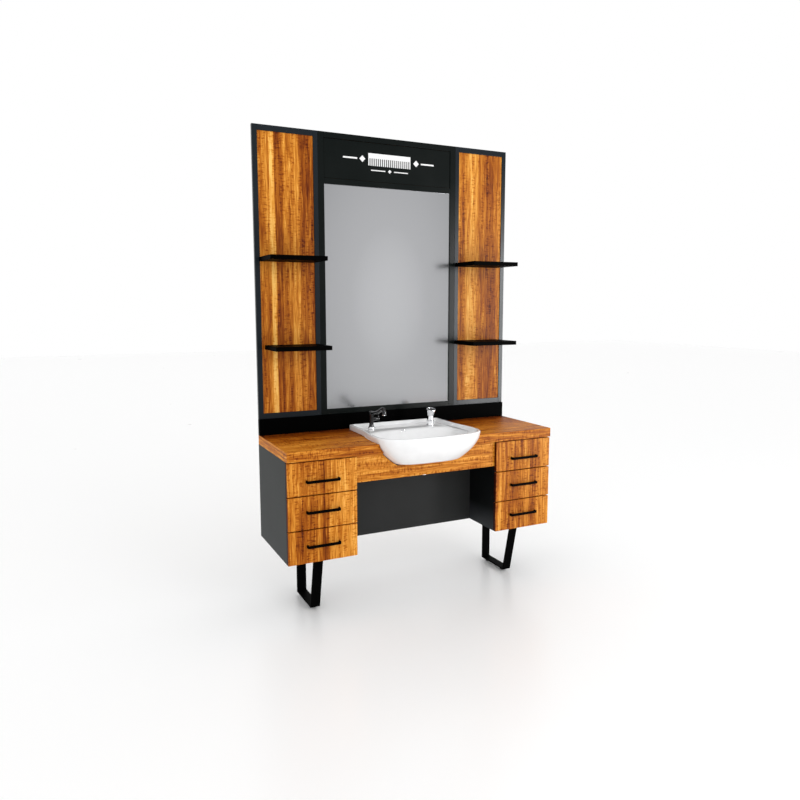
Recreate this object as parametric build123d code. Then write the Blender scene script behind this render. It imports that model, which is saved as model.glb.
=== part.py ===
from build123d import *
import math
import os

# Salon styling station: two drawer pedestals on flat-bar legs carry a worktop with a semi-recessed
# basin, and a wall unit of framed panels, shelves and a mirror stands on the worktop's back edge.
# Millimetres. +X is to the right seen from the front, +Y is towards the wall, +Z is up.
# The origin is on the floor, under the middle of the whole station.

os.makedirs("parts", exist_ok=True)

# ---------------------------------------------------------------- driving dimensions
WIDTH = 1500.0              # worktop and wall unit
TOP_DEPTH = 500.0           # worktop, front edge to wall
COUNTER_HEIGHT = 845.0      # upper face of the worktop
TOP_THICKNESS = 48.0
TOTAL_HEIGHT = 2405.0
BASIN_OVERHANG = 100.0      # how far the basin stands out in front of the worktop

BOARD = 18.0                # carcass and front boards
PEDESTAL_WIDTH = 350.0
PEDESTAL_BOTTOM = 303.0
FRONT_SETBACK = 6.0         # drawer fronts behind the worktop's edge
FRONT_GAP = 6.0             # between drawer fronts
SIDE_CLEARANCE = 1.5        # drawer front to carcass
DRAWER_COUNT = 3

RUNNER_THICKNESS = 12.7
RUNNER_HEIGHT = 35.0
RUNNER_LENGTH = 400.0
RUNNER_METAL = 1.2
BOX_BOARD = 12.0
BOX_HEIGHT = 105.0
BOX_LENGTH = 420.0
BOX_RISE = 32.0             # drawer box above its front's lower edge
BOX_FLOOR = 6.0

HANDLE_CENTRES = 160.0
HANDLE_BAR = 13.0           # height of the pull's strip
HANDLE_DEPTH = 7.0          # thickness of the pull's strip
HANDLE_REACH = 24.0
HANDLE_BEND = 8.0
HANDLE_RISES = (4.0, 5.0, -13.0)   # handle above its front's middle: bottom, middle, top drawer

LEG_BAR_WIDTH = 50.0
LEG_BAR = 8.0
LEG_BOTTOM = 15.0
LEG_FRONT_TOP = 79.0        # leg depths are from the worktop's front edge
LEG_FRONT_BOTTOM = 145.0
LEG_REAR = 368.0
GLIDE_DEPTHS = (188.0, 338.0)
GLIDE_RADIUS = 14.0
LEG_SCREW_DEPTHS = (110.0, 160.0, 290.0, 340.0)

APRON_DEPTH = 22.0
APRON_BOTTOM = 661.0
MODESTY_DEPTH = 270.0

BACKSPLASH_DEPTH = 470.0
WALL_UNIT_DEPTH = 480.0     # front faces of the frames
WALL_UNIT_BOTTOM = 930.0
SIDE_STILE = 26.0
CENTRE_STILE = 33.5
RAIL = 29.0
SIDE_MODULE = 340.0
PANEL_SETBACK = 4.0
PANEL_THICKNESS = 12.0
BACK_BOARD = 4.0
MIRROR_TOP = 2144.0
MIRROR_GLASS = 4.0
MIRROR_SETBACK = 6.0
MIRROR_BOARD = 6.0
HEADER_GAP = 2.0            # dark line round the header panel
EMBLEM_RISE = 14.0
COMB_LENGTH = 250.0
COMB_TEETH = 20

SHELF_DEPTH = 210.0
SHELF_WIDTH = 290.0
SHELF_THICKNESS = 22.0
SHELF_BOTTOMS = (1291.0, 1736.0)
SHELF_MIDDLES = {-1.0: (565.0, 583.0), 1.0: (557.0, 557.0)}   # lower and upper, on each side
SHELF_PIN_RADIUS = 5.0
SHELF_PIN_LENGTH = 120.0

BASIN_RIM = 30.0            # rim above the worktop
BASIN_DROP = 122.0          # bowl below the worktop's upper face
BASIN_HALF_WIDTH = 292.0
BASIN_MIDDLE = 60.0         # depth of the bowl's widest line
BASIN_BACK = 434.0
BASIN_BACK_HALF = 272.0
BOWL_BACK_REACH = 230.0
BOWL_SQUARENESS = 3.35      # exponent of the bowl's plan
FLOOR_WIDTH_SHARE = 0.60    # bowl floor against rim
FLOOR_DEPTH_SHARE = 0.49
BOWL_CURVE = 2.0
CERAMIC = 12.0
RIM_WIDTH = 16.0
LEDGE_RISE = 10.0           # tap ledge above the worktop
TAP_X = 172.0
TAP_DEPTH = 355.0
TAP_TURNTABLE = 70.0        # height above the ledge where the spout turns
TAP_BORE = 8.0
TAIL_RADIUS = 10.5
NECK_RADIUS = 9.5
# the spout's centre line: depth from the worktop's front edge, height above the worktop
NECK_LINE = ((355.0, 96.0), (318.0, 101.0), (276.0, 110.5), (247.0, 121.0), (222.0, 132.0),
             (205.0, 134.0), (192.0, 125.0), (190.0, 116.0))
LEVER_OFFSET = 41.0         # lever rod beside the column's axis
LEVER_RISE = 53.0           # lever axis above the ledge
SPRAYER_DEPTH = 325.0
WASTE_DEPTH = 78.0
EDGE = 1.0                  # eased edges of boards and bars

# ---------------------------------------------------------------- worked-out places
Y_BACK = (TOP_DEPTH + BASIN_OVERHANG) / 2
Y_FRONT = Y_BACK - TOP_DEPTH
TOP_UNDERSIDE = COUNTER_HEIGHT - TOP_THICKNESS
PEDESTAL_X = (WIDTH - PEDESTAL_WIDTH) / 2
CARCASS_FRONT = FRONT_SETBACK + BOARD + SIDE_CLEARANCE
CARCASS_BACK = 482.0
CARCASS_BACK_PANEL = 3.0
INNER_HALF = PEDESTAL_WIDTH / 2 - BOARD
FRONT_PITCH = (TOP_UNDERSIDE - PEDESTAL_BOTTOM) / DRAWER_COUNT
BOX_HALF = INNER_HALF - RUNNER_THICKNESS
RIM_Z = COUNTER_HEIGHT + BASIN_RIM
LEDGE_Z = COUNTER_HEIGHT + LEDGE_RISE
FLOOR_Z = COUNTER_HEIGHT - BASIN_DROP + CERAMIC
SIDE_MODULE_INNER_X = WIDTH / 2 - SIDE_MODULE
PANEL_FAR_X = WIDTH / 2 - SIDE_STILE
PANEL_NEAR_X = SIDE_MODULE_INNER_X + SIDE_STILE - 1.0
MIRROR_HALF = SIDE_MODULE_INNER_X - CENTRE_STILE
SIDES = (("left", -1.0), ("right", 1.0))
LEVELS = ("bottom", "middle", "top")


def save(shape, node):
    """Write one sub-part; several solids go in as one compound."""
    solids = shape.solids()
    body = solids[0] if len(solids) == 1 else Compound(children=solids)
    export_step(body, f"parts/{node}.step")


def eased(board, radius=EDGE):
    """A board with every edge slightly rounded."""
    return fillet(board.edges(), radius)


def slab(x_low, x_high, depth_low, depth_high, z_low, z_high):
    """A straight board between two corners; depths count from the worktop's front edge."""
    size = (x_high - x_low, depth_high - depth_low, z_high - z_low)
    middle = ((x_low + x_high) / 2, Y_FRONT + (depth_low + depth_high) / 2, (z_low + z_high) / 2)
    return Pos(*middle) * Box(*size)


def post(x, depth, z_low, z_high, radius):
    """An upright round bar."""
    return Pos(x, Y_FRONT + depth, (z_low + z_high) / 2) * Cylinder(radius, z_high - z_low)


def mirrored_span(side, near, far):
    """The low and high X of a span that is given by its distances from the middle."""
    return (near, far) if side > 0 else (-far, -near)


# ---------------------------------------------------------------- basin
def bowl_outline(fall, inset):
    """Plan of the bowl at a share of its depth: a superellipse with unequal front and back."""
    shrink_x = 1 - (1 - FLOOR_WIDTH_SHARE) * fall ** BOWL_CURVE
    shrink_y = 1 - (1 - FLOOR_DEPTH_SHARE) * fall ** BOWL_CURVE
    half_width = BASIN_HALF_WIDTH * shrink_x - inset
    front = (BASIN_MIDDLE + BASIN_OVERHANG) * shrink_y - inset
    back = BOWL_BACK_REACH * shrink_y - inset
    points = []
    for step in range(40):
        angle = 2 * math.pi * step / 40
        reach = back if math.sin(angle) > 0 else front
        across = abs(math.cos(angle) / half_width) ** BOWL_SQUARENESS
        along = abs(math.sin(angle) / reach) ** BOWL_SQUARENESS
        radius = (across + along) ** (-1 / BOWL_SQUARENESS)
        points.append((radius * math.cos(angle), Y_FRONT + BASIN_MIDDLE + radius * math.sin(angle)))
    return points


def bowl_solid(inset, floor_z):
    """The bowl's body from its rim down to floor_z, drawn in by inset all round."""
    sections = []
    for fall in (0.0, 0.25, 0.5, 0.75, 0.9, 1.0):
        z = RIM_Z + (floor_z - RIM_Z) * fall
        sections.append(Wire([Spline([(x, y, z) for x, y in bowl_outline(fall, inset)], periodic=True)]))
    return Solid.make_loft(sections)


def basin():
    """Glazed ceramic basin: a bowl, a tap ledge and an upright lip along the back."""
    bowl = bowl_solid(0.0, COUNTER_HEIGHT - BASIN_DROP)
    deck = slab(-BASIN_BACK_HALF, BASIN_BACK_HALF, BASIN_MIDDLE + 60, BASIN_BACK, COUNTER_HEIGHT, RIM_Z)
    deck = fillet(deck.edges().filter_by(Axis.Z).group_by(Axis.Y)[-1], 10)
    rim_plate = Wire([Spline([(x, y, COUNTER_HEIGHT) for x, y in bowl_outline(0, 0)], periodic=True)])
    rim = extrude(Face(rim_plate), BASIN_RIM)
    hollow_top = bowl_solid(RIM_WIDTH - 4, FLOOR_Z)
    ledge = slab(-BASIN_BACK_HALF + RIM_WIDTH, BASIN_BACK_HALF - RIM_WIDTH,
                 BASIN_MIDDLE + BOWL_BACK_REACH - 60, BASIN_BACK - RIM_WIDTH, LEDGE_Z, RIM_Z + 1)
    ledge = fillet(ledge.edges().filter_by(Axis.Z), 14)
    shape = bowl + deck + rim - hollow_top - ledge
    shape -= post(-TAP_X, TAP_DEPTH, COUNTER_HEIGHT - 1, RIM_Z, 17.5)
    shape -= post(TAP_X, SPRAYER_DEPTH, COUNTER_HEIGHT - 1, RIM_Z, 17.5)
    shape -= post(0, WASTE_DEPTH, COUNTER_HEIGHT - BASIN_DROP - 1, RIM_Z, 23)
    return shape


def basin_waste():
    """Waste fitting: flange in the bowl, threaded body, backnut, spider guide and tail pipe."""
    under = COUNTER_HEIGHT - BASIN_DROP
    flange = post(0, WASTE_DEPTH, FLOOR_Z, FLOOR_Z + 3, 32) - post(0, WASTE_DEPTH, FLOOR_Z, FLOOR_Z + 3, 19)
    body = post(0, WASTE_DEPTH, under - 24, FLOOR_Z, 22.5) - post(0, WASTE_DEPTH, under - 24, FLOOR_Z, 19)
    guide = slab(-20, 20, WASTE_DEPTH - 3, WASTE_DEPTH + 3, under - 6, under)
    guide += post(0, WASTE_DEPTH, under - 6, under, 8)
    guide -= post(0, WASTE_DEPTH, under - 7, under + 1, 5.05)
    nut = post(0, WASTE_DEPTH, under - 12, under, 31) - post(0, WASTE_DEPTH, under - 12, under, 22.5)
    cone = post(0, WASTE_DEPTH, under - 30, under - 24, 22.5)
    cone -= post(0, WASTE_DEPTH, under - 30, under - 24, 14)
    tail = post(0, WASTE_DEPTH, under - 75, under - 30, 16) - post(0, WASTE_DEPTH, under - 75, under - 30, 14)
    return flange + body + guide + nut + cone + tail


def waste_plug():
    """Push-down plug: a domed cap on a stem that slides in the waste's guide."""
    cap = post(0, WASTE_DEPTH, FLOOR_Z + 3.5, FLOOR_Z + 7.5, 30)
    cap = fillet(cap.edges().group_by(Axis.Z)[-1], 2.5)
    stem = post(0, WASTE_DEPTH, COUNTER_HEIGHT - BASIN_DROP - 12, FLOOR_Z + 3.5, 5)
    return cap + stem


def tap_body():
    """Pillar: domed foot, flared column, side boss for the valve, threaded tail and its nut."""
    foot = post(-TAP_X, TAP_DEPTH, LEDGE_Z, LEDGE_Z + 14, 18)
    foot = fillet(foot.edges().group_by(Axis.Z)[-1], 4)
    flare = Pos(-TAP_X, Y_FRONT + TAP_DEPTH, LEDGE_Z + 22) * Cone(14, 12, 16)
    column = post(-TAP_X, TAP_DEPTH, LEDGE_Z + 30, LEDGE_Z + TAP_TURNTABLE, 12)
    boss = Pos(-TAP_X + 22, Y_FRONT + TAP_DEPTH, LEDGE_Z + LEVER_RISE) * Rot(0, 90, 0) * Cylinder(9, 24)
    tail = post(-TAP_X, TAP_DEPTH, COUNTER_HEIGHT - 55, LEDGE_Z, TAIL_RADIUS)
    nut = post(-TAP_X, TAP_DEPTH, COUNTER_HEIGHT - 8, COUNTER_HEIGHT, 24)
    socket = post(-TAP_X, TAP_DEPTH, LEDGE_Z + TAP_TURNTABLE - 16, LEDGE_Z + TAP_TURNTABLE, TAP_BORE + 0.06)
    return foot + flare + column + boss + tail + nut - socket


def tap_spout():
    """Turning head on the column, with a tube that rises forwards and ends in a downward outlet."""
    start = LEDGE_Z + TAP_TURNTABLE + 0.3
    points = [(-TAP_X, Y_FRONT + depth, COUNTER_HEIGHT + rise) for depth, rise in NECK_LINE]
    path = Spline(points, tangents=[(0, -1, 0.1), (0, 0, -1)])
    tube = sweep(Plane(points[0], z_dir=path % 0) * Circle(NECK_RADIUS), path=path)
    head = post(-TAP_X, TAP_DEPTH, start, start + 27, 13)
    head = fillet(head.edges().group_by(Axis.Z)[-1], 4)
    peg = post(-TAP_X, TAP_DEPTH, LEDGE_Z + TAP_TURNTABLE - 15, start, TAP_BORE)
    tip_depth, tip_rise = NECK_LINE[-1]
    outlet = post(-TAP_X, tip_depth, COUNTER_HEIGHT + tip_rise - 6, COUNTER_HEIGHT + tip_rise + 4, 12)
    return tube + head + peg + outlet


def tap_lever():
    """Quarter-turn lever on the valve at the column's side."""
    axis_z = LEDGE_Z + LEVER_RISE
    hub = Pos(-TAP_X + LEVER_OFFSET - 0.7, Y_FRONT + TAP_DEPTH, axis_z) * Rot(0, 90, 0) * Cylinder(9, 12)
    rod = post(-TAP_X + LEVER_OFFSET, TAP_DEPTH, axis_z + 6, axis_z + 36, 3.5)
    return hub + rod


def sprayer_holder():
    """Chrome collar on the ledge that the hand spray drops into, with tail and nut."""
    foot = post(TAP_X, SPRAYER_DEPTH, LEDGE_Z, LEDGE_Z + 5, 23)
    collar = post(TAP_X, SPRAYER_DEPTH, LEDGE_Z + 5, LEDGE_Z + 26, 20)
    tail = post(TAP_X, SPRAYER_DEPTH, COUNTER_HEIGHT - 40, LEDGE_Z, 16)
    nut = post(TAP_X, SPRAYER_DEPTH, COUNTER_HEIGHT - 8, COUNTER_HEIGHT, 24)
    bore = post(TAP_X, SPRAYER_DEPTH, COUNTER_HEIGHT - 41, LEDGE_Z + 27, 11.06)
    return foot + collar + tail + nut - bore


def sprayer_handset():
    """Hand spray: plug-in stem, waisted grip and a flared head tipped forwards."""
    grip_low = LEDGE_Z + 26.3
    waist_z = LEDGE_Z + 60
    profile = [(0, LEDGE_Z - 20), (11, LEDGE_Z - 20), (11, grip_low), (20, grip_low), (17, LEDGE_Z + 46),
               (17, waist_z), (0, waist_z)]
    outline = Polyline([(r, 0, z) for r, z in profile], close=True)
    grip = revolve(Face(Wire(outline.edges())), Axis.Z)
    grip = Pos(TAP_X, Y_FRONT + SPRAYER_DEPTH, 0) * grip
    head = Pos(TAP_X, Y_FRONT + SPRAYER_DEPTH, waist_z - 5) * Rot(14, 0, 0) * (
        Pos(0, 0, 13) * Cone(15, 25, 26) + Pos(0, 0, 30) * Cylinder(26, 8))
    return grip + head


# ---------------------------------------------------------------- base
def worktop():
    """Thick board, scribed round the bowl and open under the tap ledge."""
    board = eased(slab(-WIDTH / 2, WIDTH / 2, 0, TOP_DEPTH, TOP_UNDERSIDE, COUNTER_HEIGHT))
    board -= bowl_solid(-1.5, COUNTER_HEIGHT - BASIN_DROP - 1.5)
    return board - slab(-235, 235, 200, 395, TOP_UNDERSIDE - 1, COUNTER_HEIGHT + 1)


def apron():
    """Board between the pedestals under the worktop, scribed round the bowl."""
    reach = WIDTH / 2 - PEDESTAL_WIDTH
    board = eased(slab(-reach, reach, APRON_DEPTH, APRON_DEPTH + BOARD, APRON_BOTTOM, TOP_UNDERSIDE))
    return board - bowl_solid(-1.5, COUNTER_HEIGHT - BASIN_DROP - 1.5)


def modesty_panel():
    reach = WIDTH / 2 - PEDESTAL_WIDTH
    return slab(-reach, reach, MODESTY_DEPTH, MODESTY_DEPTH + BOARD, PEDESTAL_BOTTOM, TOP_UNDERSIDE)


def carcass_side(side, outer):
    """One upright side board of a pedestal."""
    edge = WIDTH / 2 if outer else WIDTH / 2 - PEDESTAL_WIDTH + BOARD
    low, high = mirrored_span(side, edge - BOARD, edge)
    return eased(slab(low, high, CARCASS_FRONT, TOP_DEPTH, PEDESTAL_BOTTOM, TOP_UNDERSIDE), 0.6)


def carcass_bottom(side):
    """Bottom board with blind pilot holes for the leg screws."""
    low, high = mirrored_span(side, PEDESTAL_X - INNER_HALF, PEDESTAL_X + INNER_HALF)
    board = slab(low, high, CARCASS_FRONT, CARCASS_BACK, PEDESTAL_BOTTOM, PEDESTAL_BOTTOM + BOARD)
    for depth in LEG_SCREW_DEPTHS:
        board -= post(side * PEDESTAL_X, depth, PEDESTAL_BOTTOM - 1, PEDESTAL_BOTTOM + 13, 3)
    return board


def carcass_rails():
    """Top stretchers of both pedestals; the back ones stand on edge and take the wall screws."""
    rails = []
    for _, side in SIDES:
        low, high = mirrored_span(side, PEDESTAL_X - INNER_HALF, PEDESTAL_X + INNER_HALF)
        rails.append(slab(low, high, CARCASS_FRONT, CARCASS_FRONT + 80, TOP_UNDERSIDE - BOARD, TOP_UNDERSIDE))
        back = slab(low, high, CARCASS_BACK - BOARD, CARCASS_BACK, TOP_UNDERSIDE - 80, TOP_UNDERSIDE)
        rails.append(back - wall_screw_hole(side))
    return Compound(children=[rail.solids()[0] for rail in rails])


def wall_screw_hole(side):
    centre = (side * PEDESTAL_X, Y_FRONT + CARCASS_BACK, TOP_UNDERSIDE - 40)
    return Pos(*centre) * Rot(90, 0, 0) * Cylinder(3, 60)


def carcass_backs():
    """Thin back panels of both pedestals."""
    backs = []
    for _, side in SIDES:
        low, high = mirrored_span(side, PEDESTAL_X - INNER_HALF, PEDESTAL_X + INNER_HALF)
        panel = slab(low, high, CARCASS_BACK, CARCASS_BACK + CARCASS_BACK_PANEL,
                     PEDESTAL_BOTTOM, TOP_UNDERSIDE)
        backs.append((panel - wall_screw_hole(side)).solids()[0])
    return Compound(children=backs)


def runner_z(level):
    """Middle height of the runners of one drawer."""
    return PEDESTAL_BOTTOM + level * FRONT_PITCH + BOX_RISE + BOX_HEIGHT / 2


def channel(x_web, x_lips, half_height, depth_low, depth_high, z_mid):
    """A C-shaped steel member: a flat web and two lips, open on one side."""
    toward = 1.0 if x_lips > x_web else -1.0
    low, high = sorted((x_web, x_lips))
    body = slab(low, high, depth_low, depth_high, z_mid - half_height, z_mid + half_height)
    inner_low, inner_high = sorted((x_web + toward * RUNNER_METAL, x_lips + toward))
    cut = half_height - RUNNER_METAL
    return body - slab(inner_low, inner_high, depth_low - 1, depth_high + 1, z_mid - cut, z_mid + cut)


def cabinet_runners():
    """Fixed members of all the runners, screwed to the side boards."""
    members = []
    for _, side in SIDES:
        for wall in (-1.0, 1.0):
            web = side * PEDESTAL_X + wall * INNER_HALF
            for level in range(DRAWER_COUNT):
                member = channel(web, web - wall * 9.5, RUNNER_HEIGHT / 2, CARCASS_FRONT + 4,
                                 CARCASS_FRONT + 4 + RUNNER_LENGTH, runner_z(level))
                members.append(member.solids()[0])
    return Compound(children=members)


def front_span(level):
    low = PEDESTAL_BOTTOM + level * FRONT_PITCH
    return low, low + FRONT_PITCH - FRONT_GAP


def drawer_front(side, level):
    low, high = front_span(level)
    x_low, x_high = mirrored_span(side, WIDTH / 2 - PEDESTAL_WIDTH + 0.5, WIDTH / 2 - 0.5)
    return eased(slab(x_low, x_high, FRONT_SETBACK, FRONT_SETBACK + BOARD, low, high))


def drawer_box(side, level):
    """Open box of separate boards, with the moving runner member on each side."""
    middle = side * PEDESTAL_X
    start = FRONT_SETBACK + BOARD
    end = start + BOX_LENGTH
    low = front_span(level)[0] + BOX_RISE
    high = low + BOX_HEIGHT
    inner = BOX_HALF - BOX_BOARD
    pieces = [slab(middle - inner, middle + inner, start, start + BOX_BOARD, low, high)]
    pieces.append(slab(middle - inner, middle + inner, end - BOX_BOARD, end, low, high))
    pieces.append(slab(middle - inner, middle + inner, start + BOX_BOARD, end - BOX_BOARD,
                       low + 8, low + 8 + BOX_FLOOR))
    for hand in (-1.0, 1.0):
        x_low, x_high = sorted((middle + hand * inner, middle + hand * BOX_HALF))
        pieces.append(slab(x_low, x_high, start, end, low, high))
        tip = middle + hand * (BOX_HALF + 9.5)
        web = middle + hand * BOX_HALF
        member = channel(web, tip, RUNNER_HEIGHT / 2 - 3.5, start + 6, start + 6 + RUNNER_LENGTH,
                         runner_z(level))
        pieces.append(member)
    return Compound(children=[piece.solids()[0] for piece in pieces])


def handle(side, level):
    """Pull bent from a thick steel strip, its two ends turned back to the front."""
    low, high = front_span(level)
    z_mid = (low + high) / 2 + HANDLE_RISES[level]
    middle = side * PEDESTAL_X
    half = HANDLE_BAR / 2
    outside = HANDLE_CENTRES / 2 + HANDLE_DEPTH / 2
    inside = outside - HANDLE_DEPTH
    nose = FRONT_SETBACK - HANDLE_REACH
    shape = slab(middle - outside, middle + outside, nose, FRONT_SETBACK, z_mid - half, z_mid + half)
    shape -= slab(middle - inside, middle + inside, nose + HANDLE_DEPTH, FRONT_SETBACK + 1,
                  z_mid - half - 1, z_mid + half + 1)
    uprights = shape.edges().filter_by(Axis.Z).sort_by(Axis.Y)
    shape = fillet(uprights[0:2], HANDLE_BEND)
    uprights = shape.edges().filter_by(Axis.Z).filter_by_position(Axis.Y, Y_FRONT + nose + HANDLE_DEPTH - 0.1,
                                                                  Y_FRONT + nose + HANDLE_DEPTH + 0.1)
    shape = fillet(uprights, HANDLE_BEND - HANDLE_DEPTH)
    rims = [edge for edge in shape.edges() if edge.center().Y < Y_FRONT + nose + 0.1]
    return fillet([edge for edge in rims if abs(edge.center().Z - z_mid) > half - 0.1], EDGE)


# ---------------------------------------------------------------- legs
def leg(side):
    """Welded ring of flat bar: upright rear post, raked front post, foot bar and fixing plate."""
    corners = [(Y_FRONT + LEG_FRONT_TOP, PEDESTAL_BOTTOM), (Y_FRONT + LEG_FRONT_BOTTOM, LEG_BOTTOM),
               (Y_FRONT + LEG_REAR, LEG_BOTTOM), (Y_FRONT + LEG_REAR, PEDESTAL_BOTTOM)]
    outer = make_face(Polyline(*corners, close=True))
    inner = offset(outer, -LEG_BAR, kind=Kind.INTERSECTION)
    ring = extrude(Plane.YZ * (outer - inner), LEG_BAR_WIDTH)
    long_edges = [edge for face in ring.faces().filter_by(Axis.X) for edge in face.edges()]
    ring = fillet(long_edges, EDGE)
    ring = Pos(side * PEDESTAL_X - LEG_BAR_WIDTH / 2, 0, 0) * ring
    for depth in LEG_SCREW_DEPTHS:
        ring -= post(side * PEDESTAL_X, depth, PEDESTAL_BOTTOM - LEG_BAR - 1, PEDESTAL_BOTTOM + 1, 3.3)
    return ring


def leg_screws():
    """Pan-head screws up through the legs' plates."""
    screws = []
    for _, side in SIDES:
        for depth in LEG_SCREW_DEPTHS:
            plate = PEDESTAL_BOTTOM - LEG_BAR
            head = post(side * PEDESTAL_X, depth, plate - 4, plate, 6)
            shank = post(side * PEDESTAL_X, depth, plate, PEDESTAL_BOTTOM + 12, 2.95)
            screws.append((head + shank).solids()[0])
    return Compound(children=screws)


def glides():
    """Round plastic feet under the foot bars."""
    feet = []
    for _, side in SIDES:
        for depth in GLIDE_DEPTHS:
            pad = post(side * PEDESTAL_X, depth, 0, 9, GLIDE_RADIUS)
            neck = post(side * PEDESTAL_X, depth, 9, LEG_BOTTOM, GLIDE_RADIUS - 4)
            feet.append((pad + neck).solids()[0])
    return Compound(children=feet)


# ---------------------------------------------------------------- wall unit
def side_frame(side):
    """Two full-height stiles with a rail between them at the top and bottom."""
    outer = mirrored_span(side, PANEL_FAR_X, WIDTH / 2)
    inner = mirrored_span(side, SIDE_MODULE_INNER_X, PANEL_NEAR_X)
    between = mirrored_span(side, PANEL_NEAR_X, PANEL_FAR_X)
    bars = [slab(*outer, WALL_UNIT_DEPTH, TOP_DEPTH, WALL_UNIT_BOTTOM, TOTAL_HEIGHT),
            slab(*inner, WALL_UNIT_DEPTH, TOP_DEPTH, WALL_UNIT_BOTTOM, TOTAL_HEIGHT),
            slab(*between, WALL_UNIT_DEPTH, TOP_DEPTH, WALL_UNIT_BOTTOM, WALL_UNIT_BOTTOM + RAIL),
            slab(*between, WALL_UNIT_DEPTH, TOP_DEPTH, TOTAL_HEIGHT - RAIL, TOTAL_HEIGHT)]
    return Compound(children=[eased(bar).solids()[0] for bar in bars])


def centre_frame():
    """Two stiles and three rails round the mirror and the header panel."""
    bars = []
    for _, side in SIDES:
        stile = mirrored_span(side, MIRROR_HALF, SIDE_MODULE_INNER_X)
        bars.append(slab(*stile, WALL_UNIT_DEPTH, TOP_DEPTH, WALL_UNIT_BOTTOM, TOTAL_HEIGHT))
    for low in (WALL_UNIT_BOTTOM, MIRROR_TOP, TOTAL_HEIGHT - RAIL):
        bars.append(slab(-MIRROR_HALF, MIRROR_HALF, WALL_UNIT_DEPTH, TOP_DEPTH, low, low + RAIL))
    return Compound(children=[eased(bar).solids()[0] for bar in bars])


def wood_panel(side):
    span = mirrored_span(side, PANEL_NEAR_X, PANEL_FAR_X)
    front = WALL_UNIT_DEPTH + PANEL_SETBACK
    return slab(*span, front, front + PANEL_THICKNESS, WALL_UNIT_BOTTOM + RAIL, TOTAL_HEIGHT - RAIL)


def header_panel():
    """Panel above the mirror, a little smaller than its bay so that a dark line shows round it."""
    front = WALL_UNIT_DEPTH + PANEL_SETBACK
    reach = MIRROR_HALF - HEADER_GAP
    low = MIRROR_TOP + RAIL + HEADER_GAP
    high = TOTAL_HEIGHT - RAIL - HEADER_GAP
    return eased(slab(-reach, reach, front, front + PANEL_THICKNESS, low, high), 0.6)


def emblem():
    """Cut-out ornament: a long comb between two ruled lines with lozenges, and a short rule below."""
    front = WALL_UNIT_DEPTH + PANEL_SETBACK
    z_mid = (MIRROR_TOP + TOTAL_HEIGHT) / 2 + EMBLEM_RISE
    half = COMB_LENGTH / 2
    comb = slab(-half, half, front - 3, front, z_mid + 6, z_mid + 32)
    for tooth in range(COMB_TEETH + 1):
        x = -half + 3 + tooth * (COMB_LENGTH - 6) / COMB_TEETH
        comb += slab(x - 3, x + 3, front - 3, front, z_mid - 32, z_mid + 6)
    pieces = [comb.solids()[0]]
    for hand in (-1.0, 1.0):
        x_low, x_high = sorted((hand * (half + 65), hand * (half + 145)))
        pieces.append(slab(x_low, x_high, front - 3, front, z_mid - 4, z_mid + 4).solids()[0])
        lozenge = Pos(hand * (half + 35), Y_FRONT + front - 1.5, z_mid) * Rot(0, 45, 0) * Box(24, 3, 24)
        pieces.append(lozenge.solids()[0])
        x_low, x_high = sorted((hand * 26, hand * 110))
        pieces.append(slab(x_low, x_high, front - 3, front, z_mid - 58, z_mid - 53).solids()[0])
    small = Pos(0, Y_FRONT + front - 1.5, z_mid - 55.5) * Rot(0, 45, 0) * Box(14, 3, 14)
    pieces.append(small.solids()[0])
    return Compound(children=pieces)


def mirror_glass():
    front = WALL_UNIT_DEPTH + MIRROR_SETBACK
    return slab(-MIRROR_HALF, MIRROR_HALF, front, front + MIRROR_GLASS, WALL_UNIT_BOTTOM + RAIL, MIRROR_TOP)


def mirror_board():
    front = WALL_UNIT_DEPTH + MIRROR_SETBACK + MIRROR_GLASS
    return slab(-MIRROR_HALF, MIRROR_HALF, front, front + MIRROR_BOARD, WALL_UNIT_BOTTOM + RAIL, MIRROR_TOP)


def back_boards():
    """Thin boards that close the back of each framed bay."""
    boards = []
    low, high = WALL_UNIT_BOTTOM + RAIL, TOTAL_HEIGHT - RAIL
    for _, side in SIDES:
        span = mirrored_span(side, PANEL_NEAR_X, PANEL_FAR_X)
        boards.append(slab(*span, TOP_DEPTH - BACK_BOARD, TOP_DEPTH, low, high))
    boards.append(slab(-MIRROR_HALF, MIRROR_HALF, TOP_DEPTH - BACK_BOARD, TOP_DEPTH, low, MIRROR_TOP))
    boards.append(slab(-MIRROR_HALF, MIRROR_HALF, TOP_DEPTH - BACK_BOARD, TOP_DEPTH, MIRROR_TOP + RAIL, high))
    return Compound(children=[board.solids()[0] for board in boards])


def backsplash():
    """Upright board along the back of the worktop; the wall unit stands on it."""
    return eased(slab(-WIDTH / 2, WIDTH / 2, BACKSPLASH_DEPTH, TOP_DEPTH, COUNTER_HEIGHT, WALL_UNIT_BOTTOM))


def shelf_pin(side, level, hand, radius):
    """One hidden support rod of a shelf."""
    x = side * SHELF_MIDDLES[side][level] + hand * 90
    depth = WALL_UNIT_DEPTH + PANEL_SETBACK + 10 - SHELF_PIN_LENGTH / 2
    centre = (x, Y_FRONT + depth, SHELF_BOTTOMS[level] + SHELF_THICKNESS / 2)
    return Pos(*centre) * Rot(90, 0, 0) * Cylinder(radius, SHELF_PIN_LENGTH)


def shelf(side, level):
    """Cantilevered board, bored from its back edge for the support rods."""
    middle = side * SHELF_MIDDLES[side][level]
    low = SHELF_BOTTOMS[level]
    board = eased(slab(middle - SHELF_WIDTH / 2, middle + SHELF_WIDTH / 2,
                       WALL_UNIT_DEPTH - SHELF_DEPTH, WALL_UNIT_DEPTH, low, low + SHELF_THICKNESS))
    for hand in (-1.0, 1.0):
        board -= shelf_pin(side, level, hand, SHELF_PIN_RADIUS + 0.05)
    return board


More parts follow.
